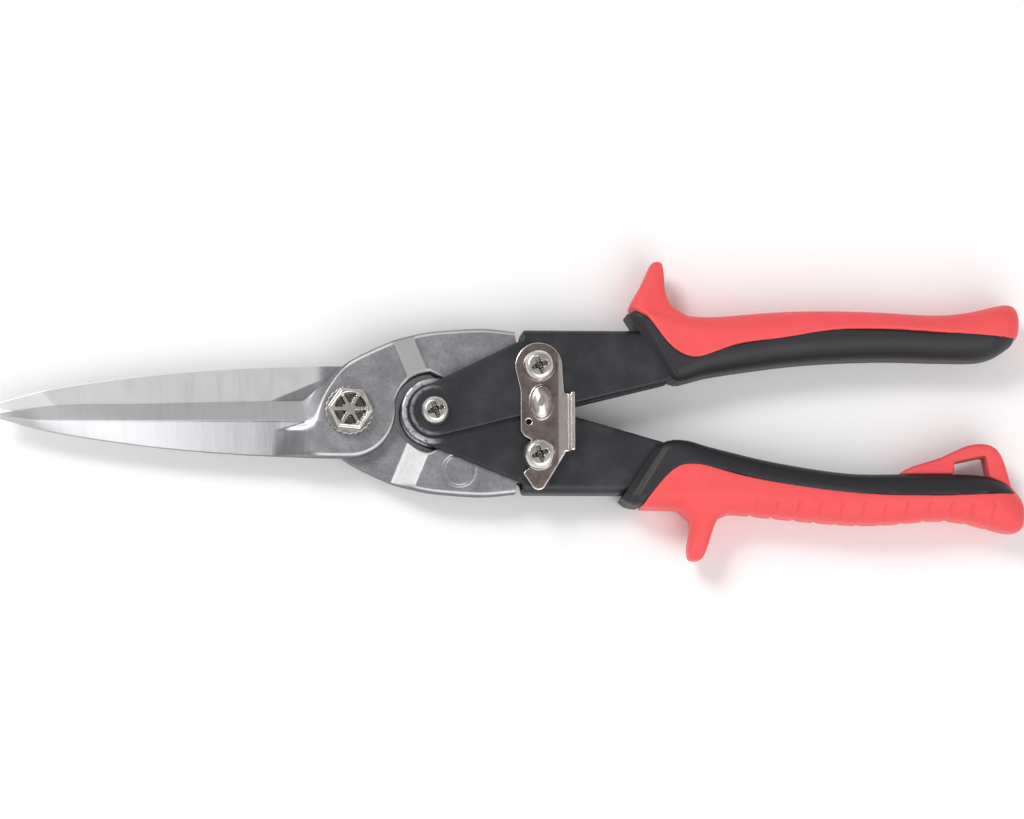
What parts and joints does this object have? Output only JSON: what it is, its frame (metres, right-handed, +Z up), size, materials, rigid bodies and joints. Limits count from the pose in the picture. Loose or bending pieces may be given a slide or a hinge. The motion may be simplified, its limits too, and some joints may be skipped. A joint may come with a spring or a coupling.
{
  "type": "aviation snips",
  "caption": "Long-cut compound-action aviation snips with offset ground blades, channel handles, two-tone grips and a swinging latch.",
  "frame": {"origin": "on the main pivot's axis, at the flat end of the pivot bolt, which is the plane the snips lie on", "axes": "+X from the main pivot towards the grips, +Y across the tool towards the handle that carries the latch, +Z up, out of the face with the bolt head"},
  "size_m": [0.2891, 0.0848, 0.0217],
  "materials": {
    "forged_steel": "satin forged steel, ground at the blades",
    "handle_steel": "satin black paint",
    "core_plastic": "matte moulded plastic",
    "overmould_rubber": "matte soft-touch rubber",
    "plated_fasteners": "bright nickel plate",
    "black_hardware": "oil-blackened steel",
    "latch_nickel": "satin nickel plate",
    "spring_steel": "drawn spring wire"
  },
  "bodies": {
    "front_jaw": {"front_jaw": "forged_steel", "pivot_bolt": "plated_fasteners", "pivot_washer_front": "plated_fasteners", "pivot_washer_rear": "plated_fasteners", "pivot_lock_nut": "plated_fasteners", "return_spring": "spring_steel"},
    "rear_jaw": {"rear_jaw": "forged_steel"},
    "upper_handle": {"upper_handle_channel": "handle_steel", "upper_grip_core": "core_plastic", "upper_grip_overmould": "overmould_rubber", "upper_link_screw": "plated_fasteners", "upper_link_nut": "plated_fasteners", "latch_spring_washer": "spring_steel", "upper_link_spacer_front": "black_hardware", "upper_link_spacer_rear": "black_hardware"},
    "lower_handle": {"lower_handle_channel": "handle_steel", "lower_grip_core": "core_plastic", "lower_grip_overmould": "overmould_rubber", "lower_link_screw": "plated_fasteners", "lower_link_nut": "plated_fasteners", "lower_link_collar": "plated_fasteners", "handle_pivot_screw": "plated_fasteners", "handle_pivot_nut": "plated_fasteners", "handle_pivot_bush": "black_hardware"},
    "latch": {"latch_plate": "latch_nickel"}
  },
  "joints": [
    {"name": "jaw_open", "type": "hinge", "parent": "front_jaw", "child": "rear_jaw", "pos_m": [0, 0, 0.0095], "axis": [0, 0, -1], "range_deg": [0, 15.7], "deforming": ["return_spring"]},
    {"name": "upper_handle_link", "type": "hinge", "parent": "front_jaw", "child": "upper_handle", "pos_m": [0.0532, 0.0125, 0.0095], "axis": [0, 0, 1], "range_deg": [0, 7]},
    {"name": "lower_handle_link", "type": "hinge", "parent": "rear_jaw", "child": "lower_handle", "pos_m": [0.0532, -0.0125, 0.0095], "axis": [0, 0, -1], "range_deg": [0, 7]},
    {"name": "latch_swing", "type": "hinge", "parent": "upper_handle", "child": "latch", "pos_m": [0.0532, 0.0125, 0.0095], "axis": [0, 0, 1], "range_deg": [0, 74]}
  ],
  "couplings": [
    {"joint": "upper_handle_link", "follows": "jaw_open", "ratio": 0.443},
    {"joint": "lower_handle_link", "follows": "jaw_open", "ratio": 0.443},
    {"joint": "latch_swing", "follows": "jaw_open", "ratio": 4.7}
  ]
}
